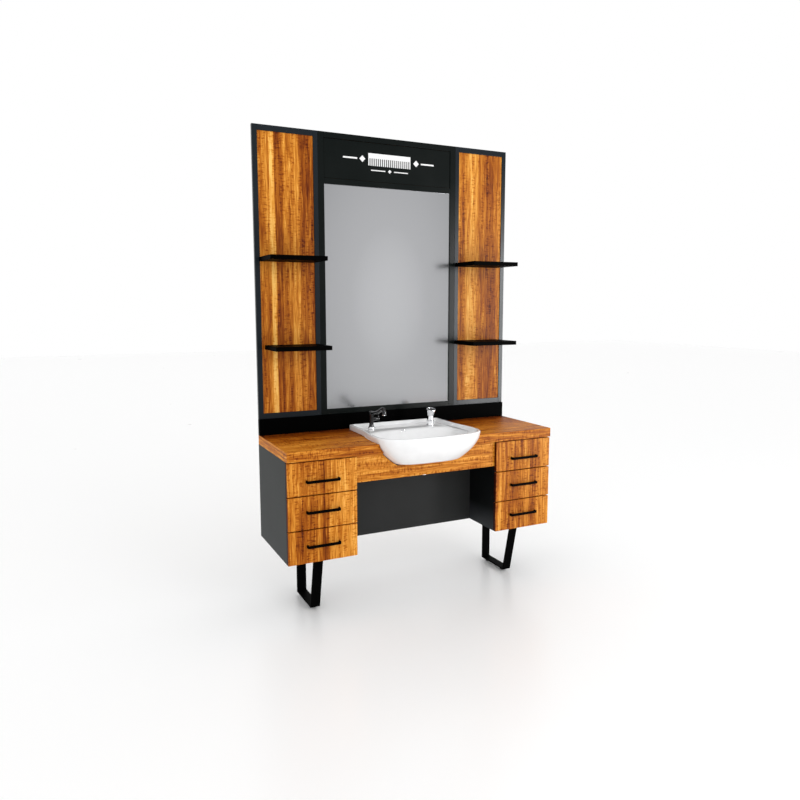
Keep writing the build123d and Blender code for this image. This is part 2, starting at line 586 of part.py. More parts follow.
def shelf_pins():
    pins = []
    for _, side in SIDES:
        for level in range(len(SHELF_BOTTOMS)):
            for hand in (-1.0, 1.0):
                pins.append(shelf_pin(side, level, hand, SHELF_PIN_RADIUS).solids()[0])
    return Compound(children=pins)


def bored_wood_panel(side):
    """Wood panel with blind holes for the shelf rods."""
    panel = wood_panel(side)
    for level in range(len(SHELF_BOTTOMS)):
        for hand in (-1.0, 1.0):
            panel -= shelf_pin(side, level, hand, SHELF_PIN_RADIUS + 0.05)
    return panel


# ---------------------------------------------------------------- write every sub-part
save(basin(), "basin")
save(basin_waste(), "basin_waste")
save(waste_plug(), "waste_plug")
save(tap_body(), "tap_body")
save(tap_spout(), "tap_spout")
save(tap_lever(), "tap_lever")
save(sprayer_holder(), "sprayer_holder")
save(sprayer_handset(), "sprayer_handset")

save(worktop(), "worktop")
save(apron(), "apron")
save(modesty_panel(), "modesty_panel")
save(carcass_rails(), "carcass_rails")
save(carcass_backs(), "carcass_backs")
save(cabinet_runners(), "cabinet_runners")

for side_name, side_sign in SIDES:
    save(carcass_side(side_sign, True), f"{side_name}_outer_side")
    save(carcass_side(side_sign, False), f"{side_name}_inner_side")
    save(carcass_bottom(side_sign), f"{side_name}_bottom")
    save(leg(side_sign), f"{side_name}_leg")
    save(side_frame(side_sign), f"{side_name}_frame")
    save(bored_wood_panel(side_sign), f"{side_name}_wood_panel")
    for drawer_level, level_name in enumerate(LEVELS):
        save(drawer_front(side_sign, drawer_level), f"{side_name}_{level_name}_front")
        save(drawer_box(side_sign, drawer_level), f"{side_name}_{level_name}_box")
        save(handle(side_sign, drawer_level), f"{side_name}_{level_name}_handle")
    for shelf_level, shelf_name in enumerate(("lower", "upper")):
        save(shelf(side_sign, shelf_level), f"{side_name}_{shelf_name}_shelf")

save(leg_screws(), "leg_screws")
save(glides(), "glides")
save(centre_frame(), "centre_frame")
save(header_panel(), "header_panel")
save(emblem(), "emblem")
save(mirror_glass(), "mirror_glass")
save(mirror_board(), "mirror_board")
save(back_boards(), "back_boards")
save(backsplash(), "backsplash")
save(shelf_pins(), "shelf_pins")
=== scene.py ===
import math

import bmesh
import bpy
from mathutils import Matrix, Vector


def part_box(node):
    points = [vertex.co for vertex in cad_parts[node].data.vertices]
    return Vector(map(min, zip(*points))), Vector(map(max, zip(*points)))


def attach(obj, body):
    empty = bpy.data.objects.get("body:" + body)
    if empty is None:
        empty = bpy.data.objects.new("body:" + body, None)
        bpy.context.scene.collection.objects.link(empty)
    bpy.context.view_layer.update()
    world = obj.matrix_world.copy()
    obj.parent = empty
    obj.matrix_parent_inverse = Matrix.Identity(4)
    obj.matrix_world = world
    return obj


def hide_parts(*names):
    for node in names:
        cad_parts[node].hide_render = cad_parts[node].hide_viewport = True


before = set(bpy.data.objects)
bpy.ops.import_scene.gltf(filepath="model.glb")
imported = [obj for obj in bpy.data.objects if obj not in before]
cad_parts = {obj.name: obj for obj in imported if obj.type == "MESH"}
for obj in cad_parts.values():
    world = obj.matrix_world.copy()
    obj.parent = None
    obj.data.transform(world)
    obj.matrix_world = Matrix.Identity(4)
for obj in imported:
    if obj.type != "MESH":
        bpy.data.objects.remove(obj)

bpy.ops.object.select_all(action="DESELECT")
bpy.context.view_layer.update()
scene = bpy.context.scene

# ---- Camera: standing to the left of the station, at eye height, turned a little to the right and down
stand_left = 1.642
stand_back = 3.033
eye_height = 1.516
turn = math.radians(26.21)
dip = math.radians(7.04)
top_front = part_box("worktop")[0].y
look = Vector((math.sin(turn) * math.cos(dip), math.cos(turn) * math.cos(dip), -math.sin(dip)))
camera_data = bpy.data.cameras.new("camera")
camera_data.sensor_width = 36.0
camera_data.lens = 31.25
camera_data.shift_x = -0.0054
camera_data.shift_y = -0.0112
camera = bpy.data.objects.new("camera", camera_data)
camera.location = (-stand_left, top_front - stand_back, eye_height)
camera.rotation_mode = "QUATERNION"
camera.rotation_quaternion = look.to_track_quat("-Z", "Y")
scene.collection.objects.link(camera)
scene.camera = camera
scene.view_settings.view_transform = "Standard"


# ---- Studio: a pale floor with a faint sheen, a white sweep of sky, two soft lights, and a tall card
# that is seen only as a sheen on the lacquer and the wood
class Wire:
    """An output socket of a node tree. Sums on it add Math nodes; add() adds any other node."""

    def __init__(self, tree, socket):
        self.tree = tree
        self.socket = socket

    def add(self, kind, settings=None, inputs=None, output=0):
        """A node of this kind: its settings first, then its sockets' values or links."""
        node = self.tree.nodes.new(kind)
        for name, value in (settings or {}).items():
            if name == "stops":
                self.set_stops(node.color_ramp, value)
            else:
                setattr(node, name, value)
        for key, value in (inputs or {}).items():
            if isinstance(value, Wire):
                self.tree.links.new(value.socket, node.inputs[key])
            else:
                node.inputs[key].default_value = value
        return Wire(self.tree, node.outputs[output])

    def set_stops(self, ramp, stops):
        """A ramp's stops, each a place and a grey level or a colour."""
        while len(ramp.elements) < len(stops):
            ramp.elements.new(1.0)
        for element, (place, tone) in zip(ramp.elements, stops):
            element.position = place
            red, green, blue = tone if isinstance(tone, tuple) else (tone, tone, tone)
            element.color = (red, green, blue, 1.0)

    def maths(self, operation, *values):
        return self.add("ShaderNodeMath", {"operation": operation}, dict(enumerate(values)))

    def __add__(self, other):
        return self.maths("ADD", self, other)

    def __sub__(self, other):
        return self.maths("SUBTRACT", self, other)

    def __rsub__(self, other):
        return self.maths("SUBTRACT", other, self)

    def __mul__(self, other):
        return self.maths("MULTIPLY", self, other)

    __radd__ = __add__
    __rmul__ = __mul__

    def rise(self, low, high):
        """0 below low, 1 above high, straight between."""
        inputs = {"Value": self, "From Min": low, "From Max": high}
        return self.add("ShaderNodeMapRange", {"clamp": True}, inputs)

    def ramp(self, stops):
        return self.add("ShaderNodeValToRGB", {"stops": stops}, {"Fac": self})

    def mottled(self, low_tone, high_tone):
        """Two tones, one in a noise's hollows and one on its crests."""
        return self.ramp(((0.3, low_tone), (0.7, high_tone)))

    def stretched(self, across_x, across_y, across_z):
        """A vector with its three parts scaled."""
        return self.add("ShaderNodeVectorMath", {"operation": "MULTIPLY"},
                        {0: self, 1: (across_x, across_y, across_z)})

    def noise(self, scale, detail=2.0, roughness=0.5, distortion=0.0):
        return self.add("ShaderNodeTexNoise", None, {"Vector": self, "Scale": scale, "Detail": detail,
                                                     "Roughness": roughness, "Distortion": distortion})

    def magnitude(self):
        return self.maths("ABSOLUTE", self)

    def moved(self, shift):
        """A vector with another vector added."""
        return self.add("ShaderNodeVectorMath", {"operation": "ADD"}, {0: self, 1: shift})

    def axis(self, name):
        return self.add("ShaderNodeSeparateXYZ", None, {0: self}, name)

    def blended(self, share, colour):
        """This colour mixed with another by a share."""
        share_in = {"Factor": share, "A": self, "B": colour}
        node = self.tree.nodes.new("ShaderNodeMix")
        node.data_type = "RGBA"
        for socket in node.inputs:
            if socket.enabled and socket.name in share_in:
                value = share_in[socket.name]
                if isinstance(value, Wire):
                    self.tree.links.new(value.socket, socket)
                elif isinstance(value, tuple):
                    socket.default_value = (*value, 1.0)
                else:
                    socket.default_value = value
        return Wire(self.tree, [out for out in node.outputs if out.enabled][0])


def finish_of(name, colour, roughness, metallic=0.0, coat=0.0):
    """A material with its plain values set; returns it, its shader node and its place on the object."""
    material = bpy.data.materials.new(name)
    material.use_nodes = True
    tree = material.node_tree
    shader = tree.nodes["Principled BSDF"]
    shader.inputs["Base Color"].default_value = (*colour, 1.0)
    shader.inputs["Roughness"].default_value = roughness
    shader.inputs["Metallic"].default_value = metallic
    shader.inputs["Coat Weight"].default_value = coat
    place = Wire(tree, tree.nodes.new("ShaderNodeTexCoord").outputs["Object"])
    return material, shader, place


def feed(shader, **wires):
    """Link wires to a shader's sockets; base_color is Base Color, and so on."""
    for name, wire in wires.items():
        socket = shader.inputs[name.replace("_", " ").title()]
        wire.tree.links.new(wire.socket, socket)


floor_size = 40.0
bpy.ops.mesh.primitive_plane_add(size=floor_size, location=(0, 0, 0))
floor = bpy.context.object
floor.name = "floor"
paper, paper_shader, paper_place = finish_of("pale_floor", (0.97, 0.97, 0.97), 0.3)
feed(paper_shader, roughness=0.26 + 0.06 * paper_place.noise(3.0))
floor.data.materials.append(paper)

world = bpy.data.worlds.new("studio")
world.use_nodes = True
scene.world = world
sky = world.node_tree.nodes["Background"]
sky.inputs["Color"].default_value = (1.0, 1.0, 1.0, 1.0)
sky.inputs["Strength"].default_value = 1.0


def soft_light(name, place, aim, wide, tall, power):
    """An area light that points at a place; glossy faces don't show it."""
    lamp_data = bpy.data.lights.new(name, "AREA")
    lamp_data.shape = "RECTANGLE"
    lamp_data.size = wide
    lamp_data.size_y = tall
    lamp_data.energy = power
    lamp = bpy.data.objects.new(name, lamp_data)
    lamp.location = place
    lamp.rotation_mode = "QUATERNION"
    lamp.rotation_quaternion = (Vector(aim) - Vector(place)).to_track_quat("-Z", "Y")
    lamp.visible_glossy = False
    scene.collection.objects.link(lamp)
    return lamp


soft_light("key", (1.4, -4.6, 2.6), (0.0, 0.0, 0.9), 2.0, 2.0, 40.0)
soft_light("right_fill", (3.85, -3.6, 0.55), (0.6, 0.1, 1.0), 1.1, 1.1, 26.0)
sheen_card = soft_light("sheen_card", (3.30, -3.6, 1.25), (0.6, 0.25, 1.25), 0.95, 2.3, 275.0)
sheen_card.visible_glossy = True
sheen_card.visible_diffuse = False
without_sheen = bpy.data.collections.new("without_sheen")
without_sheen.objects.link(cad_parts["mirror_glass"])
without_sheen.collection_objects[0].light_linking.link_state = "EXCLUDE"
sheen_card.light_linking.receiver_collection = without_sheen


# ---- Worktop: a thick board with a printed, rough-sawn wood face, its grain running the long way.
# It is scribed round the basin and open under the tap ledge.
def raised(shader, height, distance, strength=1.0):
    """Feed a height to the shader's Normal through a Bump node."""
    bump = height.add("ShaderNodeBump", None, {
        "Height": height, "Distance": distance, "Strength": strength})
    feed(shader, normal=bump)


def dull(shader, level):
    """A weaker reflection than bare plastic gives."""
    shader.inputs["Specular IOR Level"].default_value = level


def dress(node, material):
    """Give a CAD node its material."""
    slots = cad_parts[node].data.materials
    slots.clear()
    slots.append(material)


wood_tones = ((0.0, (0.030, 0.003, 0.0003)), (0.2, (0.13, 0.020, 0.0006)), (0.4, (0.31, 0.074, 0.003)),
              (0.55, (0.49, 0.152, 0.010)), (0.75, (0.76, 0.31, 0.040)), (1.0, (0.98, 0.58, 0.15)))


def wood(name, grain, span, bands, drift, edge=0.0):
    """Rough-sawn wood: bands across the board, streaks, fibres, saw marks and a few shakes; edge paints
    shade on the faces that point along X.
    """
    material, shader, place = finish_of(name, (0.5, 0.2, 0.05), 0.45)
    at_end = place.add("ShaderNodeNewGeometry", None, None, "Normal").axis("X").magnitude().rise(0.6, 0.8)
    crossed = place.add("ShaderNodeCombineXYZ", None, {
        "X": place.axis("Y"), "Y": place.axis("X"), "Z": place.axis("Z")})
    board = place.blended(at_end, crossed) if grain == "X" else place
    along_x = 0.05 if grain == "X" else 1.0
    along_z = 0.05 if grain == "Z" else 1.0
    warp = (board.stretched(18.0 * along_x, 2.2, 18.0 * along_z).noise(1.0, 2.0) - 0.5) * 0.024
    sway = board.add("ShaderNodeCombineXYZ", None, {
        "X": warp if grain == "Z" else drift, "Y": warp if grain == "X" else drift * 0.7, "Z": drift * 0.3})
    lines = board.moved(sway)
    grain_lines = lines.stretched(along_x, 1.0, along_z)
    across = board.axis("Y" if grain == "X" else "X")
    broad = (across + warp).rise(span[0], span[1]).ramp(bands)
    band = grain_lines.noise(16.0, 3.0, 0.55)
    streak = grain_lines.noise(85.0, 4.0, 0.62)
    fibre = grain_lines.noise(300.0, 3.0, 0.6)
    cut_x = 1.0 if grain == "X" else 0.30
    cut_z = 1.0 if grain == "Z" else 0.30
    cuts = lines.stretched(cut_x, 0.30, cut_z).noise(125.0, 2.0, 0.55)
    patches = lines.stretched(along_x * 5, 1.0, along_z * 5).noise(13.0, 2.0)
    saw = cuts.rise(0.50, 0.64) * patches.rise(0.42, 0.60)
    fleck = grain_lines.noise(150.0, 2.0, 0.5).rise(0.60, 0.74)
    shakes = grain_lines.noise(26.0, 1.0)
    split = 1.0 - (shakes - 0.5).magnitude().rise(0.001, 0.006)
    split = split * lines.stretched(along_x * 9, 1.0, along_z * 9).noise(7.0, 1.0).rise(0.54, 0.62)
    tone = broad + (band - 0.5) * 0.45 + (streak - 0.5) * 0.95 + (fibre - 0.5) * 0.60
    # edge * at_end is painted shade: it darkens the faces that point along X, such as the drawer fronts'
    # sides.
    tone = tone + 0.14 * fleck - 0.21 * saw - 0.30 * split - edge * at_end
    feed(shader, base_color=tone.ramp(wood_tones), roughness=0.36 + 0.22 * streak)
    raised(shader, fibre * 0.5 + streak * 0.4 - saw * 0.8 - split * 1.2, 0.0007, 0.55)
    dull(shader, 0.07)
    return material


top_low, top_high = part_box("worktop")
top_bands = ((0.0, 0.55), (0.3, 0.60), (0.5, 0.48), (0.75, 0.36), (1.0, 0.18))
dress("worktop", wood("worktop_wood", "X", (top_low.y, top_high.y), top_bands, 3.1))

# ---- Apron: a board between the pedestals under the worktop, of the same wood print
apron_bands = ((0.0, 0.62), (1.0, 0.62))
dress("apron", wood("apron_wood", "X", (top_low.y, top_high.y), apron_bands, 7.7))

# ---- Drawer fronts: one upright-grained sheet cut into three for each pedestal, with painted shade on the side faces of each front
left_low, left_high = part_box("left_top_front")
left_bands = ((0.0, 0.46), (0.1, 0.57), (0.2, 0.44), (0.34, 0.55), (0.45, 0.50), (0.52, 0.45),
              (0.532, 0.22), (0.544, 0.46), (0.62, 0.62), (0.85, 0.64), (1.0, 0.76))
left_front_wood = wood("left_front_wood", "Z", (left_low.x, left_high.x), left_bands, 1.3, 0.45)
right_low, right_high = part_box("right_top_front")
right_bands = ((0.0, 0.50), (0.06, 0.62), (0.2, 0.48), (0.38, 0.56), (0.48, 0.42), (0.56, 0.60),
               (0.68, 0.46), (0.86, 0.62), (1.0, 0.66))
right_front_wood = wood("right_front_wood", "Z", (right_low.x, right_high.x), right_bands, 5.9, 0.45)
for level in ("bottom", "middle", "top"):
    dress(f"left_{level}_front", left_front_wood)
    dress(f"right_{level}_front", right_front_wood)

# ---- Wood panels of the wall unit: upright grain, in long pale and dark bands
panel_low, panel_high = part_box("left_wood_panel")
left_panel_bands = ((0.0, 0.56), (0.12, 0.54), (0.19, 0.62), (0.21, 0.86), (0.275, 0.86), (0.30, 0.36),
                    (0.40, 0.36), (0.46, 0.54), (0.56, 0.46), (0.64, 0.72), (0.72, 0.68), (0.76, 0.44),
                    (0.9, 0.38), (1.0, 0.42))
dress("left_wood_panel", wood("left_panel_wood", "Z", (panel_low.x, panel_high.x), left_panel_bands, 9.2))
panel_low, panel_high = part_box("right_wood_panel")
right_panel_bands = ((0.0, 0.58), (0.1, 0.46), (0.2, 0.66), (0.28, 0.80), (0.38, 0.70), (0.5, 0.52),
                     (0.62, 0.44), (0.72, 0.36), (0.85, 0.48), (1.0, 0.58))
right_panel_wood = wood("right_panel_wood", "Z", (panel_low.x, panel_high.x), right_panel_bands, 12.6)
dress("right_wood_panel", right_panel_wood)

# ---- Anthracite boards: the pedestals' outer sides and the hidden carcass boards, melamine with a fine
# leathery grain. The inner sides carry painted shade: near black, pale only at their lower edge. The
# modesty panel is painted darker than the outer sides as shade, and a little paler towards the top as
# painted light
pedestal_low, pedestal_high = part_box("right_inner_side")


def melamine(name, dark, pale, rise_from, rise_to):
    """A leathery grey board that goes from one tone low down to another higher up."""
    material, shader, spot = finish_of(name, pale, 0.5)
    grit = spot.noise(900.0, 2.0)
    cloud = spot.noise(4.0, 2.0)
    height = spot.axis("Z").rise(rise_from, rise_to)
    speck = (grit * 0.5 + cloud * 0.5).mottled((0.84, 0.84, 0.84), (1.12, 1.12, 1.12))
    tone = height.ramp(((0.0, pale), (1.0, dark)))
    tone = tone.add("ShaderNodeVectorMath", {"operation": "MULTIPLY"}, {0: tone, 1: speck})
    feed(shader, base_color=tone, roughness=0.44 + 0.14 * grit)
    raised(shader, grit, 0.0002, 0.4)
    dull(shader, 0.06)
    return material


anthracite = melamine("anthracite_melamine", (0.040, 0.043, 0.042), (0.046, 0.050, 0.050),
                      pedestal_low.z, pedestal_high.z)
for node in ("carcass_rails", "carcass_backs", "left_outer_side", "right_outer_side", "left_bottom",
             "right_bottom"):
    dress(node, anthracite)
# The inner sides' board is painted shade: near black under the worktop, pale only in its lowest 12 cm.
inner_side_painted_shade = melamine("inner_side_painted_shade", (0.005, 0.0055, 0.006), (0.042, 0.046, 0.050),
                         pedestal_low.z, pedestal_low.z + 0.12)
for node in ("left_inner_side", "right_inner_side"):
    dress(node, inner_side_painted_shade)
# The modesty panel is painted darker than the outer sides, as shade, and a little paler towards the top, as
# painted light.
dress("modesty_panel", melamine("modesty_melamine", (0.030, 0.031, 0.031), (0.026, 0.027, 0.027),
                                pedestal_low.z, pedestal_high.z))

# ---- Black boards: shelves and backsplash, satin black with a trace of texture
black_board, black_board_shader, spot = finish_of("black_melamine", (0.0006, 0.0006, 0.0006), 0.45)
grit = spot.noise(700.0, 2.0)
feed(black_board_shader, base_color=grit.mottled((0.0004, 0.0004, 0.0004), (0.0010, 0.0010, 0.0010)),
     roughness=0.40 + 0.14 * grit)
raised(black_board_shader, grit, 0.00015, 0.3)
dull(black_board_shader, 0.006)
for node in ("left_lower_shelf", "left_upper_shelf", "right_lower_shelf", "right_upper_shelf",
             "backsplash"):
    dress(node, black_board)


# ---- Frames of the wall unit: lacquered bars, butt-jointed at the corners; blue-grey round the wood
# panels, and a darker green-grey for the centre frame and its header panel
def lacquered(name, low_tone, high_tone, sheen):
    """Satin lacquer with a faint ripple."""
    material, shader, spot = finish_of(name, low_tone, 0.25)
    haze = spot.noise(5.0, 3.0)
    feed(shader, base_color=haze.mottled(low_tone, high_tone), roughness=0.20 + 0.10 * haze)
    raised(shader, spot.noise(160.0, 2.0), 0.0002, 0.2)
    dull(shader, sheen)
    return material


side_lacquer = lacquered("side_lacquer", (0.008, 0.012, 0.016), (0.012, 0.016, 0.020), 0.1)
centre_lacquer = lacquered("centre_lacquer", (0.003, 0.005, 0.0045), (0.005, 0.007, 0.0065), 0.06)
dress("left_frame", side_lacquer)
dress("right_frame", side_lacquer)
dress("centre_frame", centre_lacquer)
dress("header_panel", centre_lacquer)

# ---- Mirror: silvered glass, its colour a painted reflection that is paler in the middle
silver, silver_shader, spot = finish_of("mirror_silver", (0.7, 0.72, 0.74), 0.12, metallic=1.0)
mirror_low, mirror_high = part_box("mirror_glass")
mirror_mid = (mirror_low + mirror_high) / 2
# The base colour is a painted reflection: a grey glow, paler in the middle and darker towards the corners.
off_x = (spot.axis("X") - mirror_mid.x) * 1.7
off_z = (spot.axis("Z") - mirror_mid.z) * 1.0
off_centre = off_x * off_x + off_z * off_z
feed(silver_shader, roughness=0.19 + 0.05 * spot.noise(3.0), base_color=off_centre.ramp((
    (0.0, (0.515, 0.52, 0.535)), (0.16, (0.437, 0.442, 0.455)), (1.0, (0.31, 0.315, 0.325)))))
dress("mirror_glass", silver)

# ---- Raw boards: the mirror's backing and the thin backs, brown fibreboard
fibreboard, fibreboard_shader, spot = finish_of("fibreboard", (0.33, 0.2, 0.11), 0.8)
fleck = spot.stretched(1.0, 1.0, 0.5).noise(420.0, 3.0, 0.7)
feed(fibreboard_shader, base_color=fleck.mottled((0.22, 0.12, 0.06), (0.40, 0.26, 0.15)),
     roughness=0.72 + 0.16 * fleck)
raised(fibreboard_shader, fleck, 0.0004, 0.5)
for node in ("mirror_board", "back_boards"):
    dress(node, fibreboard)

# ---- Drawer boxes: pale linen-print boards; the runner members on their flanks are zinc-plated steel
box_board, box_shader, spot = finish_of("drawer_board", (0.6, 0.59, 0.56), 0.5)
box_half_width = 0.1446
pedestal_mid = (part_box("right_top_box")[0].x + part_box("right_top_box")[1].x) / 2
off_middle = spot.axis("X").magnitude() - pedestal_mid
steel_mask = off_middle.magnitude().rise(box_half_width, box_half_width + 0.0002)
weave = spot.stretched(1.0, 1.0, 0.08).noise(900.0, 1.0) + spot.stretched(0.08, 0.08, 1.0).noise(900.0, 1.0)
linen = (weave * 0.5).ramp(((0.35, (0.50, 0.485, 0.45)), (0.65, (0.64, 0.625, 0.59))))
feed(box_shader, base_color=linen.blended(steel_mask, (0.58, 0.59, 0.61)), metallic=steel_mask,
     roughness=0.52 - 0.2 * steel_mask + 0.06 * weave)
raised(box_shader, weave, 0.0001, 0.3)
for side in ("left", "right"):
    for level in ("bottom", "middle", "top"):
        dress(f"{side}_{level}_box", box_board)

# ---- Zinc-plated steel: fixed runner members, leg screws, shelf rods
zinc, zinc_shader, spot = finish_of("zinc_plate", (0.62, 0.63, 0.65), 0.35, metallic=1.0)
spangle = spot.noise(90.0, 3.0)
feed(zinc_shader, base_color=spangle.mottled((0.52, 0.53, 0.55), (0.68, 0.69, 0.71)),
     roughness=0.28 + 0.16 * spangle)
for node in ("cabinet_runners", "leg_screws", "shelf_pins"):
    dress(node, zinc)

# ---- Legs: flat bar, bent and welded, with a fine-textured black powder coat
powder, powder_shader, spot = finish_of("black_powder_coat", (0.0007, 0.0007, 0.0007), 0.5)
grain = spot.noise(1100.0, 2.0)
feed(powder_shader, base_color=grain.mottled((0.0004, 0.0004, 0.0004), (0.0012, 0.0012, 0.0012)),
     roughness=0.42 + 0.18 * grain)
raised(powder_shader, grain, 0.0003, 0.5)
dull(powder_shader, 0.012)
for node in ("left_leg", "right_leg"):
    dress(node, powder)

# ---- Glides: moulded black plastic feet
moulded, moulded_shader, spot = finish_of("moulded_black", (0.02, 0.02, 0.02), 0.55)
scuff = spot.noise(260.0, 3.0)
feed(moulded_shader, base_color=scuff.ramp(((0.35, (0.014, 0.014, 0.014)), (0.75, (0.035, 0.034, 0.032)))),
     roughness=0.48 + 0.2 * scuff)
dress("glides", moulded)

# ---- Emblem: cut white acrylic
acrylic, acrylic_shader, spot = finish_of("white_acrylic", (0.86, 0.86, 0.86), 0.2)
feed(acrylic_shader, base_color=spot.noise(40.0).mottled((0.84, 0.84, 0.84), (0.90, 0.90, 0.90)),
     roughness=0.16 + 0.08 * spot.noise(25.0))
dress("emblem", acrylic)

# ---- Waste and plug: chrome-plated brass, the flange clamped through the bowl's floor by a backnut
chrome, chrome_shader, spot = finish_of("chrome_plate", (0.85, 0.86, 0.87), 0.06, metallic=1.0)
wipe = spot.stretched(1.0, 1.0, 0.3).noise(140.0, 3.0)
feed(chrome_shader, roughness=0.03 + 0.07 * wipe,
     base_color=wipe.mottled((0.82, 0.83, 0.85), (0.90, 0.91, 0.92)))
dress("basin_waste", chrome)
dress("waste_plug", chrome)

# ---- Basin: glazed fireclay, poured in one piece: a bowl that drops through the worktop, a rim, and a
# tap ledge with an upright lip behind it. Its skin is drawn ring by ring, from the waste hole up the
# outside, over the rim and down the inside; on each ring the front follows the bowl, the back the ledge.
basin_low, basin_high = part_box("basin")
bowl_y = top_front + 0.060
half_width = 0.292
half_back = 0.272
front_reach = bowl_y - basin_low.y
bowl_back_reach = 0.230
rim_top = basin_high.z
ledge_top = 0.855
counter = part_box("worktop")[1].z
bowl_under = basin_low.z
bowl_floor = bowl_under + 0.012
squareness = 3.35
front_points = 12
back_points = 22


def corner_curve(turn_by, across, along):
    """A point of a rounded-off rectangle, a superellipse, at this turn from the side."""
    x_part = abs(math.cos(turn_by) / across) ** squareness
    y_part = abs(math.sin(turn_by) / along) ** squareness
    reach_out = (x_part + y_part) ** (-1 / squareness)
    return reach_out * math.cos(turn_by), reach_out * math.sin(turn_by)


def bowl_ring(fall, inset):
    """The right half of the bowl's plan at a share of its depth, from the front round to the back."""
    wide = half_width * (1 - 0.40 * fall ** 2) - inset
    front = front_reach * (1 - 0.51 * fall ** 2) - inset
    back = bowl_back_reach * (1 - 0.51 * fall ** 2) - inset
    ring = []
    for step in range(front_points + 1):
        x, y = corner_curve(math.pi / 2 * (1 - step / front_points), wide, front)
        ring.append((x, bowl_y - y))
    for step in range(1, back_points + 1):
        x, y = corner_curve(math.pi / 2 * step / back_points, wide, back)
        ring.append((x, bowl_y + y))
    return ring


def deck_ring(inset):
    """The right half of the whole outline: the bowl's front, a slow S into the ledge's side, the back."""
    ring = bowl_ring(0.0, inset)[:front_points + 1]
    back_edge = basin_high.y - inset
    side = half_back - inset
    swell = half_width - half_back
    for y in (0.030, 0.062, 0.094, 0.126, 0.158, 0.190, 0.222):
        share = min(1.0, y / 0.200)
        ring.append((side + swell * (1 - share * share * (3 - 2 * share)), bowl_y + y))
    corner = 0.014
    for y in (0.262, 0.305, 0.345):
        ring.append((side, bowl_y + y))
    for step in (0, 1, 2, 3):
        lean = math.pi / 2 * step / 3
        ring.append((side - corner + corner * math.cos(lean), back_edge - corner + corner * math.sin(lean)))
    for x in (0.215, 0.175, 0.135, 0.100, 0.070, 0.045, 0.020, 0.0):
        ring.append((x, back_edge))
    return ring


def blend_rings(front_ring, front_z, back_ring, back_z):
    """One closed ring: the front of one half outline flows into the back of another; then mirrored."""
    half = []
    for step, (front_at, back_at) in enumerate(zip(front_ring, back_ring)):
        share = min(1.0, max(0.0, (step - front_points) / 7))
        share = share * share * (3 - 2 * share)
        half.append((front_at[0] + (back_at[0] - front_at[0]) * share,
                     front_at[1] + (back_at[1] - front_at[1]) * share,
                     front_z + (back_z - front_z) * share))
    return half + [(-x, y, z) for x, y, z in half[-2:0:-1]]


def waste_ring(radius, z):
    """A ring round the waste hole with as many points as the others."""
    half = []
    for step in range(front_points + back_points + 1):
        lean = math.pi * step / (front_points + back_points)
        half.append((radius * math.sin(lean), waste_y - radius * math.cos(lean), z))
    return half + [(-x, y, z) for x, y, z in half[-2:0:-1]]


def lay_ring(front_ring, front_z, back_ring, back_z):
    """Lay the next ring of the basin's skin."""
    basin_rings.append(blend_rings(front_ring, front_z, back_ring, back_z))


waste_y = top_front + 0.078
depth = rim_top - bowl_under
inner_depth = rim_top - bowl_floor
basin_rings = [waste_ring(0.0225, bowl_under), waste_ring(0.060, bowl_under)]
for fall in (1.0, 0.965, 0.9, 0.8, 0.68, 0.55, 0.42, 0.3):
    squeeze = bowl_ring(fall, 0.0 if fall < 1.0 else 0.022)
    lay_ring(squeeze, rim_top - depth * fall, squeeze, rim_top - depth * fall)
lay_ring(bowl_ring(0.22, 0.0), rim_top - depth * 0.22, bowl_ring(0.24, 0.0), counter - 0.003)
lay_ring(bowl_ring(0.17, 0.0), rim_top - depth * 0.17, bowl_ring(0.2, -0.006), counter)
lay_ring(bowl_ring(0.13, 0.0), rim_top - depth * 0.13, deck_ring(0.006), counter)
lay_ring(bowl_ring(0.10, 0.0), rim_top - depth * 0.10, deck_ring(0.0008), counter + 0.0006)
lay_ring(bowl_ring(0.06, 0.0), rim_top - 0.010, deck_ring(0.0), counter + 0.006)
for inset, drop in ((0.0, 0.006), (0.0012, 0.0014), (0.005, 0.0), (0.010, 0.0), (0.0145, 0.0014)):
    lay_ring(deck_ring(inset), rim_top - drop, deck_ring(inset), rim_top - drop)
lay_ring(deck_ring(0.017), rim_top - 0.007, deck_ring(0.0175), rim_top - 0.008)
lay_ring(bowl_ring(0.12, 0.015), rim_top - 0.017, deck_ring(0.019), ledge_top + 0.003)
lay_ring(bowl_ring(0.16, 0.0145), rim_top - 0.022, deck_ring(0.024), ledge_top)
lay_ring(bowl_ring(0.20, 0.0135), rim_top - 0.028, bowl_ring(0.1, -0.014), ledge_top - 0.001)
lay_ring(bowl_ring(0.25, 0.0125), rim_top - 0.035, bowl_ring(0.12, 0.004), ledge_top - 0.003)
lay_ring(bowl_ring(0.30, 0.012), rim_top - 0.042, bowl_ring(0.2, 0.011), ledge_top - 0.010)
for fall in (0.4, 0.52, 0.64, 0.76, 0.87, 0.95, 1.0):
    squeeze = bowl_ring(fall, 0.012 if fall < 1.0 else 0.03)
    lay_ring(squeeze, rim_top - inner_depth * fall, squeeze, rim_top - inner_depth * fall)
basin_rings.append(waste_ring(0.075, bowl_floor - 0.0006))
basin_rings.append(waste_ring(0.036, bowl_floor - 0.001))
basin_rings.append(waste_ring(0.0225, bowl_floor - 0.001))


